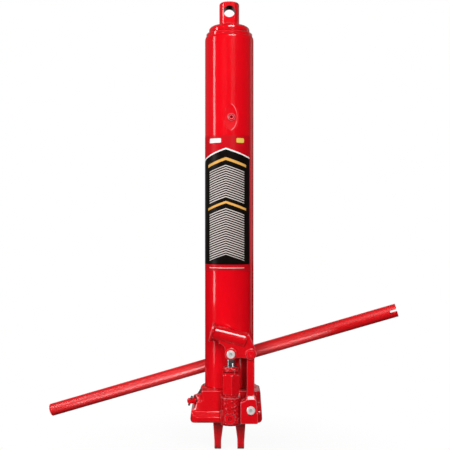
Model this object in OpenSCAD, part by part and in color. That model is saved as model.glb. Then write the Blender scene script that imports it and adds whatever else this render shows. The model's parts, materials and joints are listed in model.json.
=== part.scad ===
// Long ram hydraulic jack: a clevis base with a hand pump, a tall reservoir
// tube and a ram that ends in an eye. The handle tube stands behind it.
// Origin: centre of the lower pin hole. +Z runs up the ram, -Y is the pump side.

/* [Overall] */
// Distance between the lower and the upper pin hole with the ram down
pin_to_pin = 616; // [580:1:640]
// Diameter of the pin holes in the base clevis and in the ram eye
pin_hole_d = 16.3; // [15:0.1:17]

/* [Reservoir tube] */
// Wall of the reservoir tube
tube_wall = 3.2; // [2.5:0.1:3.6]
// Space for oil between the tube and the pressure cylinder
oil_gap = 5.8; // [5.2:0.1:7]
// How far the rolled shoulder closes in
tube_neck_in = 2.2; // [1.8:0.1:2.5]
// Height of the rolled shoulder
tube_shoulder_h = 5.6; // [4.5:0.1:6.5]
// Height of the filler plug above the lower pin
filler_z = 462; // [420:1:480]
// Angle of the filler plug round the tube, from the front
filler_angle = 5; // [0:1:12]
// Height of the flat that is pressed into the tube round the filler
filler_flat_h = 38; // [30:1:44]
// Width of that flat
filler_flat_w = 21.5; // [18:0.5:23]
// Diameter of the filler plug's head
filler_head_d = 11.4; // [10:0.2:13]

/* [Pressure cylinder] */
// Bore of the pressure cylinder
cyl_bore = 42; // [41:0.5:43]
// Wall of the pressure cylinder
cyl_wall = 5; // [4.5:0.1:5.5]
// Height of the cylinder's floor above the lower pin
cyl_floor_z = 54; // [53:0.5:56]

/* [Ram] */
// Diameter of the ram rod
ram_d = 28; // [26:0.5:28]
// Height of the piston
piston_h = 21; // [19:0.5:23]
// How much thicker than the ram the eye's round bar is, on each side
eye_out = 0.3; // [0.1:0.1:1]
// Thickness of the eye between its two flats
eye_thick = 24; // [22:0.5:25]
// Height of the eye above its hole's centre
eye_above = 14.5; // [13.5:0.5:16]
// Length of the flats below the hole's centre
eye_flat_below = 16.6; // [15:0.2:17.5]
// Rounding at the top of the eye
eye_round = 3.4; // [2:0.2:4]
// Distance from the eye hole's centre down to the top of the nut
eye_to_nut = 19; // [18.5:0.5:21]

/* [Top nut] */
// Wall of the domed nut round the pressure cylinder
nut_wall = 3.2; // [2.8:0.1:3.6]
// Height of the nut
nut_h = 11.4; // [10.5:0.1:12]
// Height of the dome on the nut
nut_dome_h = 6.4; // [5:0.2:7]
// Width of the flat ring at the top of the dome
nut_flat_w = 0.7; // [0.5:0.1:3]
// Width of the ring under the nut
tank_ring_w = 7.1; // [6.5:0.1:7.4]
// Height of the ring under the nut
tank_ring_h = 4.8; // [4:0.1:5.5]
// Length of the gland that guides the ram
gland_h = 21; // [18:0.5:22]

/* [Base casting] */
// Height of the base's underside above the lower pin
base_bottom_z = 34; // [32:0.5:35]
// Height of the base casting
base_h = 45; // [43:0.5:47]
// Wall of the collar round the tube, at its top
collar_wall = 6.3; // [5.6:0.1:6.6]
// How much wider the collar is at its foot
collar_draft = 3.4; // [2:0.2:4]
// Bevel at the top of the collar
collar_bevel = 2.4; // [1.5:0.1:2.8]
// Depth that the tube sits in the collar
tube_seat_depth = 10; // [8:0.5:11]
// Reach of the base to the left of the tube
base_left_out = 20; // [18:0.5:22]
// Reach of the base to the right of the tube
base_right_out = 11; // [10:0.2:13]
// Reach of the base's foot in front of the tube
base_front_out = 13; // [11:0.5:14]
// Reach of the base behind the tube
base_back_out = 10; // [9:0.5:13]
// Reach of the base's front wall in front of the tube
front_wall_out = 6.2; // [5.8:0.1:6.6]
// Height of the flange round the foot of the base
flange_h = 8; // [6:0.5:9]
// Height of the flange on the valve side
valve_flange_h = 17; // [15:0.5:19]
// Radius of the plan corners of the base
base_corner_r = 13; // [10:0.5:15]
// Rounding along the foot of the base
foot_r = 4; // [3:0.2:5]

/* [Base clevis] */
// Gap between the two ears at the pin
ear_gap = 23.4; // [21:0.5:24]
// Thickness of an ear at the pin
ear_thick = 9.8; // [9:0.2:11]
// Gap between the two ears where they leave the base
ear_root_gap = 15; // [14:0.2:17]
// Radius of the rounded end of an ear
ear_r = 13; // [12:0.5:15]
// Width of an ear where it leaves the base
ear_root_w = 42; // [36:1:48]

/* [Pump] */
// Place of the pump axis to the right of the ram axis
pump_x = 1.8; // [0:0.1:3]
// Distance of the pump axis in front of the tube
pump_gap = 17; // [16:0.2:18]
// Diameter of the pump plunger
plunger_d = 11.6; // [11:0.1:12]
// Size of the pump cylinder's hexagon across its flats
pump_hex = 22.4; // [21:0.2:23]
// Diameter of the pump cylinder's round head
pump_head_d = 22; // [21:0.2:22.4]
// Height of the pump cylinder's round head
pump_head_h = 11.2; // [10:0.2:12]
// Height of the hexagon
pump_hex_h = 26.4; // [24:0.2:28]
// Diameter of the boss under the pump
pump_boss_d = 27; // [26:0.2:27.6]
// How far the top of the pump boss lies below the collar's top
pump_boss_drop = 6.8; // [6:0.2:8]
// Diameter of the plug in the front of the boss
port_plug_d = 13.6; // [12:0.2:14]
// Height of that plug's centre above the base's underside
port_plug_z = 10.2; // [10:0.2:12]

/* [Pump linkage] */
// Distance between the plunger pin and the link pin
lever_arm = 27.5; // [26.5:0.1:28.5]
// Height of the plunger pin and the upper link pin above the lower pin hole
lever_pin_z = 132; // [131:0.2:133]
// Height of the lower link pin above the lower pin hole
link_foot_z = 55.4; // [54:0.2:56.5]
// Diameter of the three linkage pins
link_pin_d = 8; // [7.5:0.1:8]
// Diameter of a pin's head
pin_head_d = 11.6; // [11.2:0.1:12]
// Thickness of the link
link_thick = 9.8; // [9.2:0.1:10.4]
// Width of the link between its eyes
link_w = 10.6; // [9.5:0.1:11.5]
// Radius of the link's eyes
link_eye_r = 8.4; // [7.8:0.1:8.6]

/* [Handle socket] */
// Outside diameter of the handle socket
socket_d = 22.6; // [22:0.1:24]
// Length of the handle socket
socket_len = 51; // [47:0.5:52]
// Depth of its bore
socket_depth = 37; // [32:0.5:38]
// Slope of the socket
socket_tilt = 14.5; // [13:0.5:16]
// Distance of the socket's mouth to the left of the upper link pin
socket_out = 55.3; // [54:0.2:57]
// Height of the mouth's centre above the linkage pins
socket_rise = 30.4; // [29.6:0.1:31.2]
// Diameter of the rim at the mouth
socket_rim_d = 29; // [27:0.1:30]
// Width of the lever across its two cheeks
lever_w = 18.4; // [17.8:0.1:19.4]

/* [Release valve] */
// Turn of the release valve from the left towards the front
valve_turn = 25; // [22:0.5:28]
// Distance of the valve's seat behind the front of the tube
valve_seat_back = 13.7; // [13:0.1:14.5]
// Distance of the valve's seat in from the left of the tube
valve_seat_in = 5.2; // [4.5:0.1:6]
// Length of the valve's bore from its seat to the face of its boss
valve_bore_len = 20.4; // [19.4:0.2:21.4]
// Height of the release valve above the base's underside
valve_z = 28.6; // [27:0.1:29]
// Diameter of the valve's stem
stem_d = 8; // [7.5:0.1:8.4]
// Length of the stem outside the boss
stem_out = 11; // [9:0.5:13]
// Diameter of the cross pin in the stem
cross_pin_d = 3; // [2.6:0.1:3.2]
// Length of the cross pin
cross_pin_len = 17.6; // [16:0.2:18.4]
// Tilt of the cross pin from upright, with the valve shut
cross_pin_tilt = -38; // [-60:1:0]

/* [Pump handle] */
// Outside diameter of the handle tube
handle_d = 19; // [18.6:0.1:19.4]
// Wall of the handle tube
handle_wall = 1.8; // [1.5:0.1:2.2]
// Length of the handle
handle_len = 555; // [520:1:580]
// Slope of the handle as it leans behind the jack
handle_slope = 17.5; // [16:0.5:19]
// How far the handle is turned out of the plane of the jack
handle_turn = 12; // [8:0.5:15]
// Height at which the handle crosses behind the ram axis
handle_z = 110; // [108:0.5:114]
// Share of the handle that lies to the left of the crossing
handle_left_share = 0.535;
// Depth of the notches that turn the release valve
notch_depth = 10; // [8:0.5:12]

/* [Hidden] */
$fn = 64;

// Overrun of a cut past the face that it opens
over = 1;
// Gap of a fixed fit, of a running fit and of faces that pass each other
fit_gap = 0.05;
run_gap = 0.06;
clear_gap = 0.4;
// Half of the share that a split bore keeps of its middle
half_share = 0.5;

// Sizes that follow from the bore outwards
cyl_d = cyl_bore + 2 * cyl_wall;
tube_d = cyl_d + 2 * oil_gap + 2 * tube_wall;
tube_neck_d = tube_d - 2 * tube_neck_in;
collar_d = tube_d + 2 * collar_wall;
base_left = tube_d / 2 + base_left_out;
base_right = tube_d / 2 + base_right_out;
base_front = tube_d / 2 + base_front_out;
base_back = tube_d / 2 + base_back_out;
front_wall = tube_d / 2 + front_wall_out;
pump_out = tube_d / 2 + pump_gap;

// Heights above the lower pin
base_top_z = base_bottom_z + base_h;
tube_seat_z = base_top_z - tube_seat_depth;
nut_top_z = pin_to_pin - eye_to_nut;
nut_bottom_z = nut_top_z - nut_h;
tube_top_z = nut_bottom_z - tank_ring_h;
nut_roof = 4.6;
gland_stop_z = nut_top_z - nut_roof - gland_h;
piston_rest_gap = 0.5;
piston_z = cyl_floor_z + piston_rest_gap;

// Reservoir
shoulder_r = tube_shoulder_h;
filler_flat_drop = tube_d / 2 - sqrt(pow(tube_d / 2, 2) - pow(filler_flat_w / 2, 2));
filler_flat_y = tube_d / 2 - filler_flat_drop;
bung_d = 15;
bung_gap = 0.5;
bung_in = filler_flat_y - cyl_d / 2 - bung_gap;
filler_hole_d = 8.4;
filler_head_h = 1.6;
filler_dimple_d = 3;
gasket_h = 1.2;
gasket_w = 3;
seal_ring_d = 2.6;

// Piston and ram
piston_d = cyl_bore - 2 * run_gap;
cup_seal_h = 7;
cup_deep = 6;
cup_core_d = cyl_bore - 2 * cup_deep;
cup_seal_foot = 2.4;
backup_h = 2.4;
ram_shoulder = 5;
ram_spigot_d = ram_d - 2 * ram_shoulder;
locknut_h = 5;
locknut_wall = 3;
locknut_af = ram_spigot_d + 2 * locknut_wall;
eye_d = ram_d + 2 * eye_out;
eye_shoulder = 6;
eye_spigot_d = ram_d - 2 * eye_shoulder;
eye_spigot_h = 8.6;
eye_gap = 0.4;
wiper_w = 3.5;
wiper_d = ram_d + 2 * wiper_w;
wiper_h = 3.4;
wiper_lip = 0.5;

// Nut
nut_d = cyl_d + 2 * nut_wall;
nut_flat_d = wiper_d + 2 * nut_flat_w;
tank_ring_d = cyl_d + 2 * tank_ring_w;
nut_bevel = 0.9;
ring_bevel = 1.1;

// Base block
block_drop = 1.4;
block_edge_w = 2.5;
block_edge_h = 7.4;
block_right_out = 2.4;
block_level_back = 6;
block_back_drop = 12;
block_round_out = 13.7;
block_top_z = base_top_z - block_drop;
collar_foot_z = base_bottom_z + flange_h;
valve_step = 6;
valve_rise = 12;
valve_side_out = 10.4;
valve_side = tube_d / 2 + valve_side_out;
valve_flange_draft = 1.6;
slope_h = 7.6;
arc_steps = 5;

// Clevis
ear_straight = 1;
ear_out = ear_gap / 2 + ear_thick;
ear_spread = 2;
ear_root_out = ear_out + ear_spread;
ear_sink = 4;

// Pump
pump_boss_h = base_h - pump_boss_drop;
pump_seat_z = base_bottom_z + pump_boss_h;
pump_gasket_h = 1.5;
pump_neck_h = 2.8;
pump_neck_d = 20;
pump_shank_d = 18;
pump_shank_h = 14.2;
pump_hex_z = pump_seat_z + pump_gasket_h + pump_neck_h;
pump_head_z = pump_hex_z + pump_hex_h;
pump_top_z = pump_head_z + pump_head_h;
pump_bevel = 1.4;
hex_turn = 5;
boss_draft = 1;
chamber_d = 7;
plunger_rest_gap = 3.5;
packing_d = 17;
packing_h = 4;
plunger_wiper_h = 2.4;
plunger_wiper_z = pump_top_z - plunger_wiper_h;
packing_land = 1.6;
packing_z = plunger_wiper_z - packing_h - packing_land;
plunger_eye_r = 7.8;
plunger_flat_below = 5;

// The pin follows a slight arc, and the plunger a straight line, so the hole in
// the plunger's head is wider than the pin, and set off from its place at rest
swing_gap = 0.75;
swing_offset_x = -0.617;
swing_offset_z = 0.096;

// Suction, delivery and overload valves
fork_plug_y = -pump_out - pump_boss_d / 2;
plug_out = 0.9;
suction_bore_d = 10;
suction_ball_d = 7;
suction_seat_d = 4.4;
suction_seat_in = 8;
suction_seat_y = -pump_out + suction_seat_in;
plug_side = 1.2;
plug_x = pump_x - plug_side;
plug_z = base_bottom_z + port_plug_z;
plug_h = 7;
plug_nose_d = 5;
plug_socket_af = 6;
plug_socket_h = 3;
suction_lift = 1.2;
riser_side = 4.2;
riser_x = plug_x - riser_side;
riser_r = (cyl_d / 2 + tube_d / 2 - tube_wall) / 2;
riser_y = -sqrt(pow(riser_r, 2) - pow(riser_x, 2));
riser_d = 4;
filter_d = 5;
filter_h = 8;
filter_sink = 2;
delivery_y = -12;
delivery_bore_d = 7.4;
delivery_bore_h = 7.8;
delivery_ball_d = 5;
delivery_seat_d = 3;
delivery_up = 8;
delivery_z = base_bottom_z + delivery_up;
delivery_passage_d = 3.4;
overload_relief_up = 9;
overload_relief_z = base_bottom_z + overload_relief_up;
cage_h = 1.7;
cage_hole_d = 2.4;
overload_x = 0;
overload_y = 12;
overload_bore_d = 9;
floor_thick = 4;
overload_seat_z = cyl_floor_z - floor_thick;
overload_ball_d = 5;
overload_seat_d = 3;
overload_screw_h = 6;
overload_socket_af = 5;
overload_socket_h = 3;
spring_d = 6;
spring_wire = 1;
seat_gap = 0.03;

// Linkage
pump_y = -pump_out;
plunger_pin_x = pump_x;
link_x = pump_x + lever_arm;
fork_slot = link_thick + 2 * clear_gap;
link_hole_d = link_pin_d + 2 * run_gap;
pin_hole_fit_d = link_pin_d + 2 * fit_gap;
pin_head_h = 1.9;
pin_head_round = 0.7;
pin_dimple_d = 5;
pin_dimple_h = 0.8;
lever_boss_r = 8;
link_boss_r = 7.5;
lever_front_y = pump_y - lever_w / 2;
lever_back_y = pump_y + lever_w / 2;
lever_slot_top = 9.4;
lever_heel_x = 5.8;
lever_heel_z = 8.6;
cheek_step = 1.3;
arch_rise = 3.4;
arch_from_share = 0.78;
arch_to_share = 0.22;
clip_groove_d = 6;
clip_h = 1;
clip_d = 11.4;
pin_tail = 2.6;
fork_half_w = 11.6;
fork_front_y = pump_y - fork_half_w;
fork_lap = 0.3;
fork_left_x = pump_x + pump_boss_d / 2 - fork_lap;
fork_left_h = 32.3;
fork_right_out = 9.6;
fork_right_x = link_x + fork_right_out;
fork_top_h = 41.2;
fork_land_left = 5.3;
fork_land_right = 4.9;
fork_step_left = 7.1;
fork_step_right = 7.6;
fork_step_h = 34.5;
fork_bevel = 3.6;
fork_bevel_h = 5.8;
fork_foot = 2.4;
fork_sink = 5.2;
fork_back_y = -front_wall + fork_sink;
fork_slot_side = 3.3;
fork_slot_left = link_x - link_eye_r - fork_slot_side;
fork_slot_under = 1.4;
fork_slot_floor = link_foot_z - link_eye_r - fork_slot_under;
foot_pin_in = 25;
foot_pin_y = fork_front_y;

// Socket, in the lever's own plane: x to the right, z up
socket_gap = 0.25;
socket_bore_d = handle_d + 2 * socket_gap;
rim_h = 2.6;
socket_end_bevel = 1.6;
web_w = 9;
web_round = 9;
web_foot = 5.5;
web_end_angle = 85;
socket_end_x = -socket_out + socket_len * cos(socket_tilt);
socket_end_z = socket_rise - socket_len * sin(socket_tilt);

// Release valve, along its own axis from the seat outwards
valve_axis_z = base_bottom_z + valve_z;
valve_boss_d = 17.4;
valve_boss_in = 6;
valve_thread_d = 12;
valve_thread_at = 8.2;
valve_thread_len = 6.6;
release_ball_d = 6.4;
release_seat_d = 3.6;
release_ball_at = sqrt(pow(release_ball_d / 2, 2) - pow(release_seat_d / 2, 2)) + seat_gap;
release_passage = 5;
release_gallery = 20;
gallery_drop = valve_axis_z - cyl_floor_z + floor_thick;
release_drill_d = 3;
return_side = 4;
return_up = 2.4;
return_from = 2;
return_to = 9;
valve_left = tube_d / 2 - valve_seat_in;
valve_out = tube_d / 2 - valve_seat_back;
packing_wire_d = 1.8;
stem_tip_d = 5;
stem_bevel = 1;
cross_pin_in = 3.8;
stop_pin_d = 3.2;
stop_pin_len = 7;
stop_pin_out = 4.7;
stop_pin_up = 7.7;
stop_pin_z = valve_axis_z + stop_pin_up;
stop_pin_forward = 5.7;
stop_pin_y = -valve_out - stop_pin_forward;

// Handle
handle_gap = 0.35;
notch_gap = 0.6;
notch_w = cross_pin_d + 2 * notch_gap;
handle_back = (tube_d / 2 + handle_gap + handle_d / 2) / cos(handle_turn);

paint = "#d80a1c";
steel = "#c9ccd0";
dark_steel = "#6c6f74";
zinc = "#dfe2e6";
rubber = "#1d1d20";
copper = "#b8734a";
bronze = "#b89a5a";

// A straight tube on the Z axis
module pipe(outer_d, inner_d, h) {
    difference() {
        cylinder(d = outer_d, h = h);
        translate([0, 0, -over]) cylinder(d = inner_d, h = h + 2 * over);
    }
}

// A round ring of round section on the Z axis
module ring_seal(mid_d, wire_d) {
    rotate_extrude() translate([mid_d / 2, 0]) circle(d = wire_d, $fn = 24);
}

// A cylinder with a bevel at its top
module bevelled_bar(d, h, bevel) {
    rotate_extrude() polygon([[0, 0], [d / 2, 0], [d / 2, h - bevel], [d / 2 - bevel, h], [0, h]]);
}

// A hexagonal prism given across its flats
module hex_bar(across, h) {
    cylinder(d = across / cos(30), h = h, $fn = 6);
}

// An outline in X and Z, made thick from y0 to y1
module front_profile(points, y0, y1) {
    translate([0, y1, 0]) rotate([90, 0, 0]) linear_extrude(height = y1 - y0) polygon(points);
}

// An outline in Y and Z, made thick from x0 to x1
module side_profile(points, x0, x1) {
    translate([x0, 0, 0]) rotate([90, 0, 90]) linear_extrude(height = x1 - x0) polygon(points);
}

// A cylinder that runs along +Y from y0 to y1
module y_bar(x, z, d, y0, y1) {
    translate([x, y0, z]) rotate([-90, 0, 0]) cylinder(d = d, h = y1 - y0);
}

// A cylinder that runs along +X from x0 to x1
module x_bar(y, z, d, x0, x1) {
    translate([x0, y, z]) rotate([0, 90, 0]) cylinder(d = d, h = x1 - x0);
}

function arc(x, z, r, from, to) =
    [for (i = [0:arc_steps]) let (a = from + (to - from) * i / arc_steps) [x + r * cos(a), z + r * sin(a)]];

// Base casting

base_front_points = concat(
    arc(-base_left + foot_r, base_bottom_z + foot_r, foot_r, 270, 180),
    [[-base_left + valve_flange_draft, base_bottom_z + valve_flange_h],
     [-base_left + valve_step, base_bottom_z + valve_flange_h + valve_step * half_share],
     [-valve_side, base_bottom_z + valve_flange_h + valve_rise],
     [-collar_d / 2, block_top_z - block_edge_h], [block_edge_w - collar_d / 2, block_top_z],
     [collar_d / 2, block_top_z], [collar_d / 2 + block_right_out, block_top_z - block_right_out]],
    arc(base_right - foot_r, base_bottom_z + foot_r, foot_r, 0, -90));

base_side_points = concat(
    arc(-base_front + foot_r, base_bottom_z + foot_r, foot_r, 270, 180),
    [[-base_front, base_bottom_z + flange_h], [-front_wall, base_bottom_z + flange_h + slope_h],
     [-front_wall + valve_flange_draft, block_top_z], [block_level_back, block_top_z],
     [front_wall - valve_flange_draft, block_top_z - block_back_drop],
     [base_back - valve_flange_draft, base_bottom_z + valve_flange_h]],
    arc(base_back - foot_r, base_bottom_z + foot_r, foot_r, 0, -90));

// The release valve's own frame: its seat at the origin, +X on the way out
module valve_place() {
    translate([-valve_left, -valve_out, valve_axis_z]) rotate([0, 0, 180 + valve_turn]) children();
}

module stop_pin_bar(d) {
    x_bar(stop_pin_y, stop_pin_z, d, -collar_d / 2 - stop_pin_out, -collar_d / 2 - stop_pin_out + stop_pin_len);
}

module rounded_plan(x0, x1, y0, y1, r, h) {
    translate([x0 + r, y0, 0]) cube([x1 - x0 - 2 * r, y1 - y0, h]);
    translate([x0, y0 + r, 0]) cube([x1 - x0, y1 - y0 - 2 * r, h]);
    for (x = [x0 + r, x1 - r], y = [y0 + r, y1 - r]) translate([x, y, 0]) cylinder(r = r, h = h);
}

module base_block() {
    intersection() {
        front_profile(base_front_points, -base_front - over, base_back + over);
        side_profile(base_side_points, -base_left - over, base_right + over);
        translate([0, 0, base_bottom_z])
            rounded_plan(-base_left, base_right, -base_front, base_back, base_corner_r, base_h);
        // Rounds the corners above the flange
        rotate_extrude()
            polygon([[0, base_bottom_z - over], [base_left + base_front, base_bottom_z - over],
                     [base_left + base_front, base_bottom_z + valve_flange_h],
                     [collar_d / 2 + block_round_out, base_bottom_z + valve_flange_h + valve_rise],
                     [collar_d / 2 + block_round_out, base_top_z], [0, base_top_z]]);
    }
}

module base_collar() {
    translate([0, 0, collar_foot_z])
        rotate_extrude()
            polygon([[0, 0], [collar_d / 2 + collar_draft * half_share, 0],
                     [collar_d / 2, base_top_z - collar_foot_z - collar_bevel],
                     [collar_d / 2 - collar_bevel, base_top_z - collar_foot_z],
                     [0, base_top_z - collar_foot_z]]);
}

module pump_boss() {
    translate([pump_x, pump_y, base_bottom_z])
        cylinder(d1 = pump_boss_d + boss_draft, d2 = pump_boss_d, h = pump_boss_h);
    translate([pump_x - pump_boss_d / 2, pump_y, base_bottom_z])
        cube([pump_boss_d, pump_out - cyl_d / 2, pump_boss_h]);
}

module link_fork() {
    foot = base_bottom_z + fork_foot;
    top = base_bottom_z + fork_top_h;
    intersection() {
        front_profile([[fork_left_x, foot], [fork_left_x, base_bottom_z + fork_left_h],
                       [link_x - fork_step_left, base_bottom_z + fork_step_h], [link_x - fork_land_left, top],
                       [link_x + fork_land_right, top], [link_x + fork_step_right, base_bottom_z + fork_step_h],
                       [fork_right_x, base_bottom_z + valve_flange_h], [fork_right_x, foot]],
                      fork_front_y, fork_back_y);
        side_profile([[fork_front_y, foot], [fork_front_y, top - fork_bevel_h], [fork_front_y + fork_bevel, top],
                      [fork_back_y, top], [fork_back_y, foot]], fork_left_x, fork_right_x);
    }
}

ear_side_points = [[0, 0], [ear_r, 0], [ear_root_w / 2, base_bottom_z + ear_sink],
                   [-ear_root_w / 2, base_bottom_z + ear_sink], [-ear_r, 0]];

module clevis_ear() {
    top = base_bottom_z + ear_sink;
    intersection() {
        front_profile([[ear_gap / 2, -ear_r - over], [ear_out, -ear_r - over], [ear_out, ear_straight],
                       [ear_root_out, base_bottom_z], [ear_root_out, top], [ear_root_gap / 2, top],
                       [ear_root_gap / 2, base_bottom_z], [ear_gap / 2, ear_straight]],
                      -ear_root_w, ear_root_w);
        union() {
            x_bar(0, 0, 2 * ear_r, 0, ear_root_out + over);
            side_profile(ear_side_points, 0, ear_root_out + over);
        }
    }
}

module base_hollows() {
    translate([0, 0, cyl_floor_z]) cylinder(d = cyl_d + 2 * fit_gap, h = base_h);
    translate([0, 0, tube_seat_z]) cylinder(d = tube_d + 2 * fit_gap, h = base_h);
    // Pump seat and the chamber under it
    translate([pump_x, pump_y, pump_seat_z - pump_shank_h])
        cylinder(d = pump_shank_d + 2 * fit_gap, h = base_h);
    translate([pump_x, pump_y, delivery_z]) cylinder(d = chamber_d, h = pump_boss_drop + pump_shank_h);
    translate([pump_x, pump_y, pump_seat_z]) cylinder(d = pump_hex / cos(30) + 2 * clear_gap, h = base_h);
    // Suction valve: from the plug back to the seat, then to the reservoir
    y_bar(plug_x, plug_z, port_plug_d + 2 * fit_gap, -base_front - pump_out, fork_plug_y + plug_h);
    y_bar(plug_x, plug_z, suction_bore_d, fork_plug_y, suction_seat_y);
    y_bar(plug_x, plug_z, suction_seat_d, suction_seat_y - over, riser_y);
    translate([riser_x, riser_y, plug_z]) cylinder(d = riser_d, h = base_h);
    translate([riser_x, riser_y, tube_seat_z - filter_sink]) cylinder(d = filter_d + 2 * fit_gap, h = base_h);
    // Delivery valve under the pressure cylinder
    y_bar(pump_x + chamber_d / 4, delivery_z + delivery_passage_d / 2, delivery_passage_d, pump_y, delivery_y);
    translate([pump_x, delivery_y, delivery_z + delivery_passage_d / 2])
        cylinder(d = delivery_seat_d, h = cyl_floor_z - delivery_z);
    translate([pump_x, delivery_y, cyl_floor_z - delivery_bore_h])
        cylinder(d = delivery_bore_d, h = delivery_bore_h + over);
    // Overload valve, screwed in from below
    translate([overload_x, overload_y, base_bottom_z - over])
        cylinder(d = overload_bore_d + 2 * fit_gap, h = overload_seat_z - base_bottom_z + over);
    translate([overload_x, overload_y, base_bottom_z])
        cylinder(d = overload_seat_d, h = cyl_floor_z - base_bottom_z + over);
    y_bar(overload_x, overload_relief_z, release_drill_d, overload_y, riser_r);
    translate([overload_x, riser_r, overload_relief_z]) cylinder(d = release_drill_d, h = base_h);
    // Release valve, its way in from under the piston and its way back to the reservoir
    valve_place() {
        x_bar(0, 0, valve_thread_d + 2 * run_gap, 0, base_left);
        x_bar(0, 0, release_seat_d, -release_passage, over);
        translate([-release_passage, 0, -gallery_drop]) cylinder(d = release_drill_d, h = gallery_drop);
        x_bar(0, -gallery_drop, release_drill_d, -release_gallery, -release_passage);
        translate([-release_gallery, 0, -gallery_drop])
            cylinder(d = release_drill_d, h = gallery_drop - valve_axis_z + cyl_floor_z + over);
        x_bar(return_side, return_up, release_drill_d, -return_to, return_from);
        translate([-return_to, return_side, return_up]) cylinder(d = release_drill_d, h = base_h);
    }
    // Link slot and its pin
    translate([fork_slot_left, pump_y - fork_slot / 2, fork_slot_floor])
        cube([base_right + over, fork_slot, base_h]);
    y_bar(link_x, link_foot_z, pin_hole_fit_d, foot_pin_y - over, foot_pin_y + foot_pin_in);
    // Clevis pin hole
    x_bar(0, 0, pin_hole_d, -base_left, base_left);
    stop_pin_bar(stop_pin_d + 2 * fit_gap);
}

module base_casting() {
    color(paint)
        difference() {
            union() {
                base_block();
                base_collar();
                pump_boss();
                link_fork();
                clevis_ear();
                mirror([1, 0, 0]) clevis_ear();
                valve_place() x_bar(0, 0, valve_boss_d, -valve_boss_in, valve_bore_len);
            }
            base_hollows();
        }
}

// Reservoir

tube_neck_points = [for (i = [0:arc_steps]) let (a = 90 * i / arc_steps)
    [tube_neck_d / 2 + (tube_d - tube_neck_d) / 2 * cos(a), tube_top_z - shoulder_r + shoulder_r * sin(a)]];
tube_inner_points = [for (i = [arc_steps:-1:0]) tube_neck_points[i] - [tube_wall, 0]];
flat_arc_r = (pow(filler_flat_h / 2, 2) + pow(filler_flat_drop, 2)) / (2 * filler_flat_drop);

filler_seat = flat_arc_r - sqrt(pow(flat_arc_r, 2) - pow(filler_head_d / 2, 2)) + fit_gap;

module filler_place() {
    rotate([0, 0, filler_angle]) translate([0, 0, filler_z]) children();
}

module reservoir_tube() {
    color(paint)
        difference() {
            rotate_extrude()
                polygon(concat([[tube_d / 2 - tube_wall, tube_seat_z + gasket_h],
                                [tube_d / 2, tube_seat_z + gasket_h]],
                               tube_neck_points, tube_inner_points));
            filler_place() {
                translate([0, -filler_flat_y - flat_arc_r, 0])
                    x_bar(0, 0, 2 * flat_arc_r, -tube_d / 2, tube_d / 2);
                y_bar(0, 0, filler_hole_d, -tube_d, 0);
            }
        }
}

module tube_gasket() {
    color(rubber) translate([0, 0, tube_seat_z]) pipe(tube_d, tube_d - 2 * gasket_w, gasket_h);
}

module filler_bung() {
    color(steel)
        filler_place()
            difference() {
                intersection() {
                    y_bar(0, 0, bung_d, -tube_d / 2, -filler_flat_y + bung_in);
                    translate([0, 0, -bung_d]) cylinder(d = tube_d - 2 * tube_wall - 2 * fit_gap, h = 2 * bung_d);
                }
                y_bar(0, 0, filler_hole_d, -tube_d, 0);
            }
}

module filler_plug() {
    color(paint)
        filler_place()
            translate([0, -filler_flat_y - filler_seat - filler_head_h, 0])
                difference() {
                    union() {
                        translate([0, filler_head_h, 0]) rotate([90, 0, 0])
                            bevelled_bar(filler_head_d, filler_head_h, filler_head_h / 2);
                        y_bar(0, 0, filler_hole_d - 2 * fit_gap, 0, filler_head_h + filler_seat + bung_in);
                    }
                    y_bar(0, 0, filler_dimple_d, -over, filler_head_h / 2);
                }
}

// Pressure cylinder, gland and nut

cyl_foot_z = cyl_floor_z + gasket_h;
cyl_top_z = nut_top_z - nut_roof;

module pressure_cylinder() {
    color(steel) translate([0, 0, cyl_foot_z]) pipe(cyl_d, cyl_bore, cyl_top_z - cyl_foot_z);
}

module cylinder_gasket() {
    color(copper) translate([0, 0, cyl_floor_z]) pipe(cyl_d, cyl_bore + run_gap, gasket_h);
}

module tank_top_ring() {
    color(paint)
        translate([0, 0, tube_top_z])
            difference() {
                bevelled_bar(tank_ring_d, tank_ring_h, ring_bevel);
                translate([0, 0, -over]) cylinder(d = cyl_d + 2 * fit_gap, h = tank_ring_h + 2 * over);
            }
}

tank_seal_mid_d = (cyl_d + tube_neck_d - 2 * tube_wall) / 2;

module tank_gasket() {
    color(rubber)
        translate([0, 0, tube_top_z - seal_ring_d / 2 - fit_gap]) ring_seal(tank_seal_mid_d, seal_ring_d);
}

nut_dome_points = [for (i = [0:arc_steps]) let (a = 90 * i / arc_steps)
    [nut_flat_d / 2 + (nut_d - nut_flat_d) / 2 * cos(a), nut_top_z - nut_dome_h + nut_dome_h * sin(a)]];

module top_nut() {
    color(paint)
        difference() {
            rotate_extrude()
                polygon(concat([[0, nut_bottom_z], [nut_d / 2 - nut_bevel, nut_bottom_z],
                                [nut_d / 2, nut_bottom_z + nut_bevel]],
                               nut_dome_points, [[0, nut_top_z]]));
            translate([0, 0, nut_bottom_z - over])
                cylinder(d = cyl_d + 2 * fit_gap, h = cyl_top_z - nut_bottom_z + over);
            translate([0, 0, nut_bottom_z]) cylinder(d = ram_d + 2 * clear_gap, h = nut_h + over);
            translate([0, 0, nut_top_z - wiper_h]) cylinder(d = wiper_d + 2 * fit_gap, h = wiper_h + over);
        }
}

module wiper_seal() {
    color(rubber)
        translate([0, 0, nut_top_z - wiper_h]) pipe(wiper_d, ram_d + 2 * run_gap, wiper_h + wiper_lip * half_share);
}

gland_groove_z = gland_stop_z + gland_h / 2;

module ram_gland() {
    color(bronze)
        difference() {
            translate([0, 0, gland_stop_z]) pipe(cyl_bore - 2 * fit_gap, ram_d + 2 * run_gap, gland_h);
            translate([0, 0, gland_groove_z])
                cylinder(d = ram_d + 2 * seal_ring_d + 4 * fit_gap, h = seal_ring_d + 2 * fit_gap);
        }
}

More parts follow.
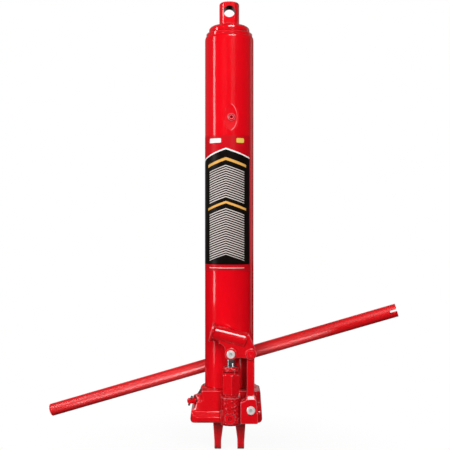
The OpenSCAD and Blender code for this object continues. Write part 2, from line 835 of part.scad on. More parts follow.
module gland_seal() {
    color(rubber)
        translate([0, 0, gland_groove_z + seal_ring_d / 2 + fit_gap])
            ring_seal(ram_d + seal_ring_d + 2 * run_gap, seal_ring_d);
}

// Piston and ram

piston_head_z = piston_z + locknut_h;
piston_top_z = piston_z + piston_h;
cup_z = piston_head_z + cup_seal_foot;

module piston_head() {
    color(steel)
        difference() {
            translate([0, 0, piston_head_z]) pipe(piston_d, ram_spigot_d + 2 * fit_gap, piston_h - locknut_h);
            translate([0, 0, cup_z])
                pipe(cyl_bore + over, cup_core_d, cup_seal_h + backup_h + 2 * fit_gap);
        }
}

module piston_cup_seal() {
    color(rubber)
        translate([0, 0, cup_z + fit_gap]) pipe(cyl_bore - fit_gap, cup_core_d + fit_gap, cup_seal_h - fit_gap);
}

module piston_backup_ring() {
    color(bronze)
        translate([0, 0, cup_z + fit_gap + cup_seal_h]) pipe(cyl_bore - run_gap, cup_core_d + fit_gap, backup_h);
}

module piston_locknut() {
    color(dark_steel)
        translate([0, 0, piston_z])
            difference() {
                hex_bar(locknut_af, locknut_h);
                translate([0, 0, -over]) cylinder(d = ram_spigot_d + 2 * fit_gap, h = locknut_h + 2 * over);
            }
}

eye_foot_z = nut_top_z + eye_gap + wiper_lip * half_share;

module ram_rod() {
    color(zinc) {
        translate([0, 0, piston_z]) cylinder(d = ram_spigot_d, h = piston_h + over);
        translate([0, 0, piston_top_z]) cylinder(d = ram_d, h = eye_foot_z - piston_top_z);
        translate([0, 0, eye_foot_z - over]) cylinder(d = eye_spigot_d, h = eye_spigot_h + over);
    }
}

eye_top_z = pin_to_pin + eye_above;

module ram_eye() {
    color(paint)
        difference() {
            rotate_extrude()
                polygon(concat([[0, eye_foot_z], [eye_d / 2, eye_foot_z]],
                               arc(eye_d / 2 - eye_round, eye_top_z - eye_round, eye_round, 0, 90),
                               [[0, eye_top_z]]));
            for (side = [0, 1]) mirror([0, side, 0])
                translate([-eye_d / 2 - over, eye_thick / 2, pin_to_pin - eye_flat_below])
                    cube([eye_d + 2 * over, eye_d, eye_above + eye_flat_below + over]);
            y_bar(0, pin_to_pin, pin_hole_d, -eye_d, eye_d);
            translate([0, 0, eye_foot_z - over])
                cylinder(d = eye_spigot_d + 2 * fit_gap, h = eye_spigot_h + fit_gap + over);
        }
}

// Pump

module at_pump(z) {
    translate([pump_x, pump_y, z]) children();
}

module pump_cylinder() {
    color(paint)
        difference() {
            union() {
                at_pump(pump_seat_z - pump_shank_h)
                    cylinder(d = pump_shank_d, h = pump_shank_h + pump_gasket_h + over);
                at_pump(pump_seat_z + pump_gasket_h) cylinder(d = pump_neck_d, h = pump_neck_h + over);
                at_pump(pump_hex_z) rotate([0, 0, 30 + hex_turn]) hex_bar(pump_hex, pump_hex_h);
                at_pump(pump_head_z - over) bevelled_bar(pump_head_d, pump_head_h + over, pump_bevel);
            }
            at_pump(pump_seat_z - pump_shank_h - over) cylinder(d = plunger_d + 2 * run_gap, h = base_top_z);
            at_pump(packing_z) cylinder(d = packing_d, h = packing_h + fit_gap);
            at_pump(plunger_wiper_z) cylinder(d = packing_d, h = plunger_wiper_h + over);
        }
}

module pump_gasket() {
    color(copper) at_pump(pump_seat_z) pipe(pump_neck_d, pump_shank_d + 2 * fit_gap, pump_gasket_h);
}

module plunger_packing() {
    color(rubber) at_pump(packing_z) pipe(packing_d - 2 * fit_gap, plunger_d + 2 * run_gap, packing_h);
}

module plunger_wiper() {
    color(dark_steel)
        at_pump(plunger_wiper_z) pipe(packing_d - 2 * fit_gap, plunger_d + 2 * run_gap, plunger_wiper_h);
}

plunger_foot_z = pump_seat_z - pump_shank_h + plunger_rest_gap;

module pump_plunger() {
    flat_z = lever_pin_z - plunger_eye_r - plunger_flat_below;
    color(zinc)
        difference() {
            union() {
                at_pump(plunger_foot_z) cylinder(d = plunger_d, h = lever_pin_z - plunger_foot_z);
                y_bar(pump_x, lever_pin_z, 2 * plunger_eye_r, pump_y - plunger_d / 2, pump_y + plunger_d / 2);
            }
            for (side = [-1, 1])
                translate([pump_x - plunger_d, pump_y + side * (link_thick / 2 + plunger_d) - plunger_d, flat_z])
                    cube([2 * plunger_d, 2 * plunger_d, lever_pin_z]);
            y_bar(pump_x + swing_offset_x, lever_pin_z + swing_offset_z, link_pin_d + 2 * swing_gap,
                  pump_y - plunger_d, pump_y + plunger_d);
        }
}

// Valves in the base

module port_plug() {
    ball_front = suction_ball_y - suction_ball_d / 2;
    color(paint)
        difference() {
            union() {
                y_bar(plug_x, plug_z, port_plug_d, fork_plug_y - plug_out, fork_plug_y + plug_h);
                y_bar(plug_x, plug_z, plug_nose_d, fork_plug_y, ball_front - suction_lift - clear_gap);
            }
            translate([plug_x, fork_plug_y - plug_out + plug_socket_h, plug_z])
                rotate([90, 0, 0]) hex_bar(plug_socket_af, plug_socket_h + over);
        }
}

suction_ball_y = suction_seat_y - sqrt(pow(suction_ball_d / 2, 2) - pow(suction_seat_d / 2, 2)) - seat_gap;

module suction_ball() {
    color(steel) translate([plug_x, suction_ball_y, plug_z]) sphere(d = suction_ball_d);
}

module intake_filter() {
    color(bronze)
        translate([riser_x, riser_y, tube_seat_z - filter_sink])
            difference() {
                cylinder(d = filter_d, h = filter_h);
                translate([0, 0, -over]) cylinder(d = filter_d - 2 * over, h = filter_h);
            }
}

delivery_seat_z = cyl_floor_z - delivery_bore_h;
delivery_ball_z = delivery_seat_z + sqrt(pow(delivery_ball_d / 2, 2) - pow(delivery_seat_d / 2, 2)) + seat_gap;

module delivery_ball() {
    color(steel) translate([pump_x, delivery_y, delivery_ball_z]) sphere(d = delivery_ball_d);
}

module delivery_cage() {
    color(bronze)
        translate([pump_x, delivery_y, cyl_floor_z - cage_h])
            pipe(delivery_bore_d - 2 * fit_gap, cage_hole_d, cage_h);
}

overload_ball_z = overload_seat_z - sqrt(pow(overload_ball_d / 2, 2) - pow(overload_seat_d / 2, 2)) - seat_gap;
spring_touch = sqrt(pow(overload_ball_d / 2, 2) - pow(spring_d / 2 - spring_wire, 2));

module overload_ball() {
    color(steel) translate([overload_x, overload_y, overload_ball_z]) sphere(d = overload_ball_d);
}

module overload_spring() {
    foot = base_bottom_z + overload_screw_h;
    color(steel)
        translate([overload_x, overload_y, foot])
            pipe(spring_d, spring_d - 2 * spring_wire, overload_ball_z - spring_touch - seat_gap - foot);
}

module overload_screw() {
    color(dark_steel)
        translate([overload_x, overload_y, base_bottom_z])
            difference() {
                cylinder(d = overload_bore_d, h = overload_screw_h);
                translate([0, 0, -over]) hex_bar(overload_socket_af, overload_socket_h + over);
            }
}

module release_ball() {
    color(steel) valve_place() translate([release_ball_at, 0, 0]) sphere(d = release_ball_d);
}

screw_foot = release_ball_at + release_ball_d / 2 + seat_gap;
screw_end = valve_bore_len + stem_out;
cross_pin_at = screw_end - cross_pin_in;

module cross_pin_bar(d, len) {
    valve_place()
        translate([cross_pin_at, 0, 0]) rotate([cross_pin_tilt, 0, 0]) translate([0, 0, -len / 2])
            cylinder(d = d, h = len);
}

module release_screw() {
    color(paint)
        difference() {
            valve_place() {
                x_bar(0, 0, stem_tip_d, screw_foot, valve_thread_at + over);
                x_bar(0, 0, valve_thread_d, valve_thread_at, valve_thread_at + valve_thread_len);
                rotate([0, 90, 0]) translate([0, 0, valve_thread_at])
                    bevelled_bar(stem_d, screw_end - valve_thread_at, stem_bevel);
            }
            cross_pin_bar(cross_pin_d + 2 * fit_gap, 2 * stem_d);
        }
}

module release_cross_pin() {
    color(dark_steel) cross_pin_bar(cross_pin_d, cross_pin_len);
}

module release_packing() {
    color(rubber)
        valve_place()
            translate([valve_bore_len - packing_wire_d / 2 - fit_gap, 0, 0]) rotate([0, 90, 0])
                ring_seal((valve_thread_d + 2 * run_gap + stem_d) / 2, packing_wire_d);
}

module release_stop_pin() {
    color(dark_steel) stop_pin_bar(stop_pin_d);
}

// Linkage

module link() {
    color(paint)
        difference() {
            union() {
                for (z = [link_foot_z, lever_pin_z])
                    y_bar(link_x, z, 2 * link_eye_r, pump_y - link_thick / 2, pump_y + link_thick / 2);
                translate([link_x - link_w / 2, pump_y - link_thick / 2, link_foot_z])
                    cube([link_w, link_thick, lever_pin_z - link_foot_z]);
            }
            for (z = [link_foot_z, lever_pin_z])
                y_bar(link_x, z, link_hole_d, pump_y - link_thick, pump_y + link_thick);
        }
}

// A headed pin along Y: its head's underside at y0, its far end at y1
module headed_pin(x, z, y0, y1) {
    difference() {
        union() {
            translate([x, y0, z]) rotate([90, 0, 0]) bevelled_bar(pin_head_d, pin_head_h, pin_head_round);
            y_bar(x, z, link_pin_d, y0 - over, y1);
        }
        translate([x, y0 - pin_head_h - over, z]) rotate([-90, 0, 0])
            cylinder(d1 = pin_dimple_d, d2 = pin_dimple_d * half_share, h = pin_dimple_h + over);
    }
}

module link_foot_pin() {
    color(zinc) headed_pin(link_x, link_foot_z, foot_pin_y, foot_pin_y + foot_pin_in);
}

module link_rivet() {
    color(paint) headed_pin(link_x, lever_pin_z, lever_front_y, lever_back_y);
}

clip_y = lever_back_y;

module plunger_pin() {
    color(zinc)
        difference() {
            headed_pin(plunger_pin_x, lever_pin_z, lever_front_y, lever_back_y + pin_tail);
            translate([plunger_pin_x, clip_y, lever_pin_z]) rotate([-90, 0, 0])
                pipe(link_pin_d + over, clip_groove_d, clip_h + fit_gap);
        }
}

module plunger_pin_clip() {
    color(dark_steel)
        translate([plunger_pin_x, clip_y, lever_pin_z])
            difference() {
                rotate([-90, 0, 0]) pipe(clip_d, clip_groove_d + 2 * fit_gap, clip_h);
                translate([-clip_groove_d / 2, -over, -clip_d])
                    cube([clip_groove_d, clip_h + 2 * over, clip_d]);
            }
}

// The lever in its own plane: x to the right and z up from the link's upper pin

boss_left = -lever_arm - lever_boss_r;

lever_web_points = concat(
    [[-lever_arm, -lever_boss_r], [-lever_arm * arch_from_share, -lever_boss_r + arch_rise * half_share],
     [-lever_arm * half_share, -lever_boss_r + arch_rise],
     [-lever_arm * arch_to_share, -lever_boss_r + arch_rise * half_share], [0, -link_boss_r],
     [link_boss_r, 0], [lever_heel_x, lever_heel_z],
     [socket_end_x + socket_d / 2 * sin(socket_tilt), socket_end_z + socket_d / 2 * cos(socket_tilt)],
     [socket_end_x, socket_end_z], [-socket_out + web_w, socket_rise - web_w * tan(socket_tilt)]],
    arc(boss_left - web_round, web_foot, web_round, web_end_angle, 0),
    [[boss_left, 0]]);

module lever_plane() {
    translate([link_x, 0, lever_pin_z]) children();
}

module socket_place() {
    lever_plane() translate([-socket_out, pump_y, socket_rise]) rotate([0, 90 + socket_tilt, 0]) children();
}

module lever() {
    color(paint)
        difference() {
            union() {
                lever_plane()
                    front_profile(lever_web_points, lever_front_y + cheek_step, lever_back_y - cheek_step);
                y_bar(plunger_pin_x, lever_pin_z, 2 * lever_boss_r, lever_front_y, lever_back_y);
                y_bar(link_x, lever_pin_z, 2 * link_boss_r, lever_front_y, lever_back_y);
                socket_place() {
                    bevelled_bar(socket_d, socket_len, socket_end_bevel);
                    cylinder(d = socket_rim_d, h = rim_h);
                    translate([0, 0, rim_h]) cylinder(d1 = socket_rim_d, d2 = socket_d, h = rim_h);
                }
            }
            socket_place() translate([0, 0, -over]) cylinder(d = socket_bore_d, h = socket_depth + over);
            lever_plane() translate([-2 * lever_arm, pump_y - fork_slot / 2, -2 * lever_boss_r])
                cube([3 * lever_arm, fork_slot, 2 * lever_boss_r + lever_slot_top]);
            for (x = [plunger_pin_x, link_x])
                y_bar(x, lever_pin_z, pin_hole_fit_d, lever_front_y - over, lever_back_y + over);
        }
}

// Handle tube, leaning behind the jack

module pump_handle() {
    left = handle_len * handle_left_share;
    color(paint)
        translate([0, handle_back, handle_z]) rotate([0, 0, -handle_turn]) rotate([0, 90 - handle_slope, 0])
            translate([0, 0, -left])
                difference() {
                    pipe(handle_d, handle_d - 2 * handle_wall, handle_len);
                    translate([-notch_w / 2, -handle_d, handle_len - notch_depth])
                        cube([notch_w, 2 * handle_d, notch_depth + over]);
                }
}

base_casting();
reservoir_tube();
tube_gasket();
pressure_cylinder();
cylinder_gasket();
tank_top_ring();
tank_gasket();
top_nut();
wiper_seal();
ram_gland();
gland_seal();
filler_bung();
filler_plug();
piston_cup_seal();
piston_backup_ring();
piston_head();
piston_locknut();
ram_rod();
ram_eye();
pump_cylinder();
pump_gasket();
plunger_packing();
plunger_wiper();
pump_plunger();
port_plug();
suction_ball();
delivery_ball();
delivery_cage();
intake_filter();
overload_ball();
overload_spring();
overload_screw();
release_ball();
release_screw();
release_packing();
release_cross_pin();
release_stop_pin();
link();
link_foot_pin();
lever();
plunger_pin();
plunger_pin_clip();
link_rivet();
pump_handle();
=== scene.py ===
import json
import math

import bmesh
import bpy
from mathutils import Matrix, Vector

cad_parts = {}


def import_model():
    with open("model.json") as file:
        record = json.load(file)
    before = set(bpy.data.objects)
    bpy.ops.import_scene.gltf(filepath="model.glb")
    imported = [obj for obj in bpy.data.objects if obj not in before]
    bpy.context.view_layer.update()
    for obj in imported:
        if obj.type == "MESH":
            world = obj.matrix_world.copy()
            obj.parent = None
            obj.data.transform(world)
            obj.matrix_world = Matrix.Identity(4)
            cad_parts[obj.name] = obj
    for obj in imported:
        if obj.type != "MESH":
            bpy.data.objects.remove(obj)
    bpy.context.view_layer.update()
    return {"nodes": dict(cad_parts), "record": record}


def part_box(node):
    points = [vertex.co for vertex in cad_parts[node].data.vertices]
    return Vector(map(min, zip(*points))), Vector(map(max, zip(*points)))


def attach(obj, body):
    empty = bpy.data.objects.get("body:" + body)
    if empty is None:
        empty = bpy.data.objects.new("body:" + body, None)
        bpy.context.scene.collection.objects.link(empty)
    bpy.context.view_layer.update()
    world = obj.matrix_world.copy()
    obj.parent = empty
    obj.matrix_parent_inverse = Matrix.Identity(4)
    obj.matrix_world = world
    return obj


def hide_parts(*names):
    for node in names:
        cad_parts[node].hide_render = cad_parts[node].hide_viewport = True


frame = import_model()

MM = 0.001

# Camera, measured from the photograph. Its lens and its sensor's width are in millimetres.
CAMERA_DISTANCE = 1256 * MM
CAMERA_HEIGHT = 310 * MM
CAMERA_SIDE = -6.2 * MM
CAMERA_LENS = 69.5
CAMERA_SENSOR = 36.0

# Places on the jack: the tube and the base from the frame, the pins and the tube's flat as built
tube_low, tube_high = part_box("reservoir_tube")
tube_radius = (tube_high.x - tube_low.x) / 2
base_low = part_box("base_casting")[0]
PIN_HEIGHT = 616 * MM
PIN_BORE = 16.3 * MM
PIN_HOLLOW = 2.5 * MM
FLAT_WIDTH = 21.5 * MM
FLAT_HEIGHT = 38 * MM

# Colours of the paint on open faces, and of its painted highlight on edges, its painted shade in corners
# and its painted shade inside bores
RED = (0.78, 0.0022, 0.0085)
DEEP_RED = (0.60, 0.0015, 0.006)
CAST_RED = (0.68, 0.0018, 0.007)
HANDLE_RED = (0.74, 0.003, 0.006)
# Painted highlight: a pale pink laid on edges, rims and peaks where gloss would catch the light
EDGE_HIGHLIGHT_RED = (0.95, 0.19, 0.22)
# Painted shade: a dark red laid into corners, creases and recesses
CORNER_SHADE_RED = (0.16, 0.0006, 0.002)
# Painted shade: a near black laid inside bores and sockets
BORE_SHADE_DARK = (0.09, 0.005, 0.012)

# Colours of bare metal and rubber; the pins' zinc carries a painted pink reflection on its rim and painted
# shade in its hollow
ZINC_RIM_SHEEN = (0.88, 0.80, 0.78)
ZINC_HOLLOW_SHADE = (0.52, 0.56, 0.53)
RUBBER_BLACK = (0.018, 0.018, 0.02)
RUBBER_GREY = (0.035, 0.034, 0.033)

# How open a place has to be before painted shade starts on it, and how much less open it is where the
# painted shade is darkest: on plain forms, and on turned ones with crisp steps
PLAIN_CORNER_SHADE = (0.78, 0.40)
CRISP_CORNER_SHADE = (0.92, 0.22)


# Materials

def new_material(name):
    material = bpy.data.materials.new(name)
    material.use_nodes = True
    tree = material.node_tree
    shader = tree.nodes["Principled BSDF"]
    return material, tree, shader


def add_node(tree, kind, **inputs):
    node = tree.nodes.new(kind)
    for name, value in inputs.items():
        node.inputs[name.replace("_", " ")].default_value = value
    return node


def object_noise(tree, scale, detail=3.0, roughness=0.55):
    coords = tree.nodes.new("ShaderNodeTexCoord")
    noise = add_node(tree, "ShaderNodeTexNoise", Scale=scale, Detail=detail, Roughness=roughness)
    tree.links.new(coords.outputs["Object"], noise.inputs["Vector"])
    return noise


def map_range(tree, source, low, high, to_low, to_high):
    node = add_node(tree, "ShaderNodeMapRange", From_Min=low, From_Max=high, To_Min=to_low, To_Max=to_high)
    tree.links.new(source, node.inputs["Value"])
    return node.outputs["Result"]


def mix_colour(tree, factor, first, second):
    node = tree.nodes.new("ShaderNodeMix")
    node.data_type = "RGBA"
    tree.links.new(factor, node.inputs["Factor"])
    for letter, value in (("A", first), ("B", second)):
        target = [socket for socket in node.inputs if socket.name == letter and socket.type == "RGBA"][0]
        if isinstance(value, tuple):
            target.default_value = (*value, 1.0)
        else:
            tree.links.new(value, target)
    return [socket for socket in node.outputs if socket.type == "RGBA"][0]


def math_node(tree, operation, first, second=0.0):
    node = tree.nodes.new("ShaderNodeMath")
    node.operation = operation
    for socket, value in zip(node.inputs, (first, second)):
        if isinstance(value, (int, float)):
            socket.default_value = value
        else:
            tree.links.new(value, socket)
    return node.outputs[0]


def inside(tree, value, low, high, soft):
    # 1 from low to high, and fading to 0 past them
    after = map_range(tree, value, low - soft, low, 0.0, 1.0)
    before = map_range(tree, value, high, high + soft, 1.0, 0.0)
    return math_node(tree, "MULTIPLY", after, before)


def cloudy(tree, scale, detail, share):
    # Clouds over a finish, and how much of its second colour they bring, up to this share
    cloud = object_noise(tree, scale, detail)
    return cloud, map_range(tree, cloud.outputs["Fac"], 0.35, 0.7, 0.0, share)


def object_axes(tree):
    coords = tree.nodes.new("ShaderNodeTexCoord")
    split = tree.nodes.new("ShaderNodeSeparateXYZ")
    tree.links.new(coords.outputs["Object"], split.inputs["Vector"])
    return split.outputs


def reach_from(tree, x, z):
    # Distance from a line that runs front to back through x and z
    axes = object_axes(tree)
    across = math_node(tree, "POWER", math_node(tree, "SUBTRACT", axes["X"], x), 2.0)
    upward = math_node(tree, "POWER", math_node(tree, "SUBTRACT", axes["Z"], z), 2.0)
    return math_node(tree, "SQRT", math_node(tree, "ADD", across, upward))


def reach_in_piece(tree, node_name):
    low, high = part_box(node_name)
    centre = (low + high) / 2
    return reach_from(tree, centre.x, centre.z)


def soft_edges(tree, radius):
    node = tree.nodes.new("ShaderNodeBevel")
    node.samples = 8
    node.inputs["Radius"].default_value = radius
    return node.outputs["Normal"]


def bump(tree, height, strength, distance, normal=None):
    node = add_node(tree, "ShaderNodeBump", Strength=strength, Distance=distance)
    tree.links.new(height, node.inputs["Height"])
    if normal is not None:
        tree.links.new(normal, node.inputs["Normal"])
    return node.outputs["Normal"]


def paint_corner_shade(tree, colour, reach, corners=PLAIN_CORNER_SHADE, share=0.85):
    # Painted shade: the paint's colour is darkened where ambient occlusion finds corners and recesses
    open_share, depth = corners
    shade = tree.nodes.new("ShaderNodeAmbientOcclusion")
    shade.samples = 8
    shade.inputs["Distance"].default_value = reach
    corner = map_range(tree, shade.outputs["AO"], open_share, open_share - depth, 0.0, share)
    return mix_colour(tree, corner, colour, CORNER_SHADE_RED)


def paint_edge_highlight(tree, colour, rounded, share=0.7):
    # Painted highlight: the paint's colour is made paler on edges, where the rounded normal leans off the
    # face
    face = tree.nodes.new("ShaderNodeNewGeometry").outputs["Normal"]
    lean = tree.nodes.new("ShaderNodeVectorMath")
    lean.operation = "DOT_PRODUCT"
    tree.links.new(face, lean.inputs[0])
    tree.links.new(rounded, lean.inputs[1])
    edge = map_range(tree, lean.outputs["Value"], 0.985, 0.90, 0.0, share)
    return mix_colour(tree, edge, colour, EDGE_HIGHLIGHT_RED)


def lacquer(shader, coat, coat_roughness=0.05):
    # The clear top of the paint takes nearly all of its gloss
    shader.inputs["Specular IOR Level"].default_value = 0.06
    shader.inputs["Coat Weight"].default_value = coat
    shader.inputs["Coat Roughness"].default_value = coat_roughness


def eye_bore_shade(tree):
    # Painted shade inside the bore of the ram's eye, at the pin
    reach = reach_from(tree, 0.0, PIN_HEIGHT)
    return map_range(tree, reach, PIN_BORE / 2 + 0.1 * MM, PIN_BORE / 2 + 0.5 * MM, 1.0, 0.0)


def flat_edge_highlight(tree):
    # Painted highlight along the right-hand edge of the flat round the filler plug. The flat's edge
    # is an ellipse, on which reach is 1.
    low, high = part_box("filler_plug")
    axes = object_axes(tree)
    across = math_node(tree, "POWER", math_node(tree, "DIVIDE", axes["X"], FLAT_WIDTH / 2), 2.0)
    rise = math_node(tree, "SUBTRACT", axes["Z"], (low.z + high.z) / 2)
    upward = math_node(tree, "POWER", math_node(tree, "DIVIDE", rise, FLAT_HEIGHT / 2), 2.0)
    reach = math_node(tree, "SQRT", math_node(tree, "ADD", across, upward))
    rim = inside(tree, reach, 0.97, 1.015, 0.02)
    right = map_range(tree, axes["X"], 1.5 * MM, 4.0 * MM, 0.0, 0.95)
    front = map_range(tree, axes["Y"], -10 * MM, -5 * MM, 1.0, 0.0)
    away = map_range(tree, math_node(tree, "ABSOLUTE", rise), 5 * MM, 10 * MM, 0.3, 1.0)
    right_front = math_node(tree, "MULTIPLY", right, front)
    return math_node(tree, "MULTIPLY", math_node(tree, "MULTIPLY", rim, away), right_front)


def gloss_paint(name, edge=0.5 * MM, coat=0.5, highlight_share=0.7, corners=PLAIN_CORNER_SHADE, bore=False, flat=False):
    # Sprayed paint on turned and drawn steel, with its fine ripple, a painted highlight on its edges and
    # painted shade in its corners. Highlight share is how strong the painted highlight on its edges is.
    material, tree, shader = new_material(name)
    tone = cloudy(tree, 14.0, 3.0, 0.35)[1]
    rounded = soft_edges(tree, edge)
    colour = paint_edge_highlight(tree, mix_colour(tree, tone, RED, DEEP_RED), rounded, highlight_share)
    colour = paint_corner_shade(tree, colour, 3 * MM, corners)
    if bore:
        # Painted shade in the eye's bore, where the coat is left off as well
        bore_shade = eye_bore_shade(tree)
        colour = mix_colour(tree, bore_shade, colour, BORE_SHADE_DARK)
        tree.links.new(map_range(tree, bore_shade, 0.0, 1.0, coat, 0.0), shader.inputs["Coat Weight"])
    if flat:
        # Painted highlight on the right-hand edge of the filler plug's flat
        colour = mix_colour(tree, flat_edge_highlight(tree), colour, EDGE_HIGHLIGHT_RED)
    tree.links.new(colour, shader.inputs["Base Color"])
    smudge = object_noise(tree, 60.0, 5.0)
    dullness = map_range(tree, smudge.outputs["Fac"], 0.3, 0.75, 0.16, 0.26)
    tree.links.new(dullness, shader.inputs["Roughness"])
    peel = object_noise(tree, 420.0, 2.0)
    tree.links.new(bump(tree, peel.outputs["Fac"], 0.10, 0.25 * MM, rounded), shader.inputs["Normal"])
    lacquer(shader, coat)
    return material


def satin_paint(name):
    # Duller paint on the pump handle
    material, tree, shader = new_material(name)
    cloud, tone = cloudy(tree, 22.0, 4.0, 0.5)
    tree.links.new(mix_colour(tree, tone, HANDLE_RED, DEEP_RED), shader.inputs["Base Color"])
    tree.links.new(map_range(tree, cloud.outputs["Fac"], 0.3, 0.75, 0.36, 0.40), shader.inputs["Roughness"])
    ripple = object_noise(tree, 300.0, 2.0)
    tree.links.new(bump(tree, ripple.outputs["Fac"], 0.03, 0.25 * MM), shader.inputs["Normal"])
    shader.inputs["Specular IOR Level"].default_value = 0.7
    return material


def cast_paint(name, sandy_box):
    # Paint over a sand casting, coarser where the box is: its ranges in x, y and z are in millimetres
    material, tree, shader = new_material(name)
    sand = object_noise(tree, 900.0, 4.0, 0.6)
    lumps = object_noise(tree, 190.0, 3.0)
    pits = map_range(tree, sand.outputs["Fac"], 0.30, 0.52, 0.5, 0.0)
    colour = mix_colour(tree, pits, CAST_RED, DEEP_RED)
    # Painted highlight on the edges and painted shade in the corners, found by pointiness and by ambient
    # occlusion
    form = tree.nodes.new("ShaderNodeNewGeometry").outputs["Pointiness"]
    colour = mix_colour(tree, map_range(tree, form, 0.522, 0.555, 0.0, 0.9), colour, EDGE_HIGHLIGHT_RED)
    colour = mix_colour(tree, map_range(tree, form, 0.485, 0.45, 0.0, 0.8), colour, CORNER_SHADE_RED)
    colour = paint_corner_shade(tree, colour, 5 * MM)
    tree.links.new(map_range(tree, lumps.outputs["Fac"], 0.3, 0.7, 0.22, 0.36), shader.inputs["Roughness"])
    lumpy = bump(tree, lumps.outputs["Fac"], 0.8, 0.7 * MM, soft_edges(tree, 0.6 * MM))
    axes = object_axes(tree)
    mask = 1.0
    for axis, (low, high) in zip("XYZ", sandy_box):
        within = inside(tree, axes[axis], low * MM, high * MM, 1.5 * MM)
        mask = math_node(tree, "MULTIPLY", within, mask)
    grit = object_noise(tree, 300.0, 2.0)
    height = math_node(tree, "MULTIPLY", grit.outputs["Fac"], mask)
    coarse = bump(tree, height, 1.0, 5 * MM, lumpy)
    # Painted glints: the highest grit in the sandy box is made pale pink
    peak_glints = map_range(tree, height, 0.56, 0.66, 0.0, 0.55)
    tree.links.new(mix_colour(tree, peak_glints, colour, EDGE_HIGHLIGHT_RED), shader.inputs["Base Color"])
    fine = bump(tree, sand.outputs["Fac"], 0.48, 0.22 * MM, coarse)
    tree.links.new(fine, shader.inputs["Normal"])
    lacquer(shader, 1.0, 0.08)
    return material


def metal(name, colour, dark, roughness, dull=0.12, cloud_scale=45.0, shine=1.0):
    material, tree, shader = new_material(name)
    shader.inputs["Metallic"].default_value = shine
    cloud, tone = cloudy(tree, cloud_scale, 4.0, 1.0)
    tree.links.new(mix_colour(tree, tone, colour, dark), shader.inputs["Base Color"])
    dullness = map_range(tree, cloud.outputs["Fac"], 0.3, 0.7, roughness, roughness + dull)
    tree.links.new(dullness, shader.inputs["Roughness"])
    return material


def turned_metal(name, colour, dark, roughness, shine=1.0):
    # Metal with the fine rings that a lathe leaves
    material = metal(name, colour, dark, roughness, shine=shine)
    tree = material.node_tree
    coords = tree.nodes.new("ShaderNodeTexCoord")
    wave = add_node(tree, "ShaderNodeTexWave", Scale=700.0, Distortion=1.5, Detail=2.0)
    wave.bands_direction = "Z"
    tree.links.new(coords.outputs["Object"], wave.inputs["Vector"])
    normal = bump(tree, wave.outputs["Fac"], 0.05, 0.05 * MM, soft_edges(tree, 0.3 * MM))
    tree.links.new(normal, tree.nodes["Principled BSDF"].inputs["Normal"])
    return material


def pin_zinc(name, node_name):
    # Zinc on a pin, its rim pale with a painted pink reflection and its drilled hollow greyer with painted
    # shade
    material, tree, shader = new_material(name)
    reach = reach_in_piece(tree, node_name)
    ring = map_range(tree, reach, PIN_HOLLOW - 0.2 * MM, PIN_HOLLOW + 0.2 * MM, 0.0, 1.0)
    tree.links.new(mix_colour(tree, ring, ZINC_HOLLOW_SHADE, ZINC_RIM_SHEEN), shader.inputs["Base Color"])
    shader.inputs["Metallic"].default_value = 0.25
    shader.inputs["Roughness"].default_value = 0.28
    tree.links.new(soft_edges(tree, 0.3 * MM), shader.inputs["Normal"])
    return material


def plug_paint(name, node_name):
    # Paint on the filler plug, with painted highlights on its two rims and painted shade in its socket and
    # between the rims
    material, tree, shader = new_material(name)
    reach = reach_in_piece(tree, node_name)
    inner_rim_glint = math_node(tree, "MULTIPLY", inside(tree, reach, 2.6 * MM, 3.1 * MM, 0.4 * MM), 0.6)
    # Painted shade in the socket and in the ring between the rims
    socket = map_range(tree, reach, 1.3 * MM, 2.1 * MM, 1.0, 0.0)
    foot = inside(tree, reach, 3.7 * MM, 4.2 * MM, 0.3 * MM)
    outer_rim_glint = math_node(tree, "MULTIPLY", inside(tree, reach, 4.7 * MM, 5.2 * MM, 0.3 * MM), 0.6)
    colour = mix_colour(tree, inner_rim_glint, RED, EDGE_HIGHLIGHT_RED)
    colour = mix_colour(tree, socket, colour, BORE_SHADE_DARK)
    colour = mix_colour(tree, foot, colour, CORNER_SHADE_RED)
    colour = mix_colour(tree, outer_rim_glint, colour, EDGE_HIGHLIGHT_RED)
    colour = paint_corner_shade(tree, colour, 3 * MM, CRISP_CORNER_SHADE)
    tree.links.new(colour, shader.inputs["Base Color"])
    tree.links.new(soft_edges(tree, 0.5 * MM), shader.inputs["Normal"])
    shader.inputs["Roughness"].default_value = 0.2
    lacquer(shader, 1.0)
    return material


def rubber(name):
    material, tree, shader = new_material(name)
    cloud, tone = cloudy(tree, 300.0, 4.0, 1.0)
    tree.links.new(mix_colour(tree, tone, RUBBER_BLACK, RUBBER_GREY), shader.inputs["Base Color"])
    shader.inputs["Roughness"].default_value = 0.55
    tree.links.new(bump(tree, cloud.outputs["Fac"], 0.2, 0.1 * MM), shader.inputs["Normal"])
    return material


# Sticker: a sheet round the tube, with its sides in degrees from the front

STICKER_GAP = 0.12 * MM
STICKER_LOW = 244.6 * MM
STICKER_HIGH = 436.5 * MM
STICKER_RIGHT = 54.5
STICKER_LEFT = -128.0
STICKER_STEPS = 72
STICKER_ROWS = 24

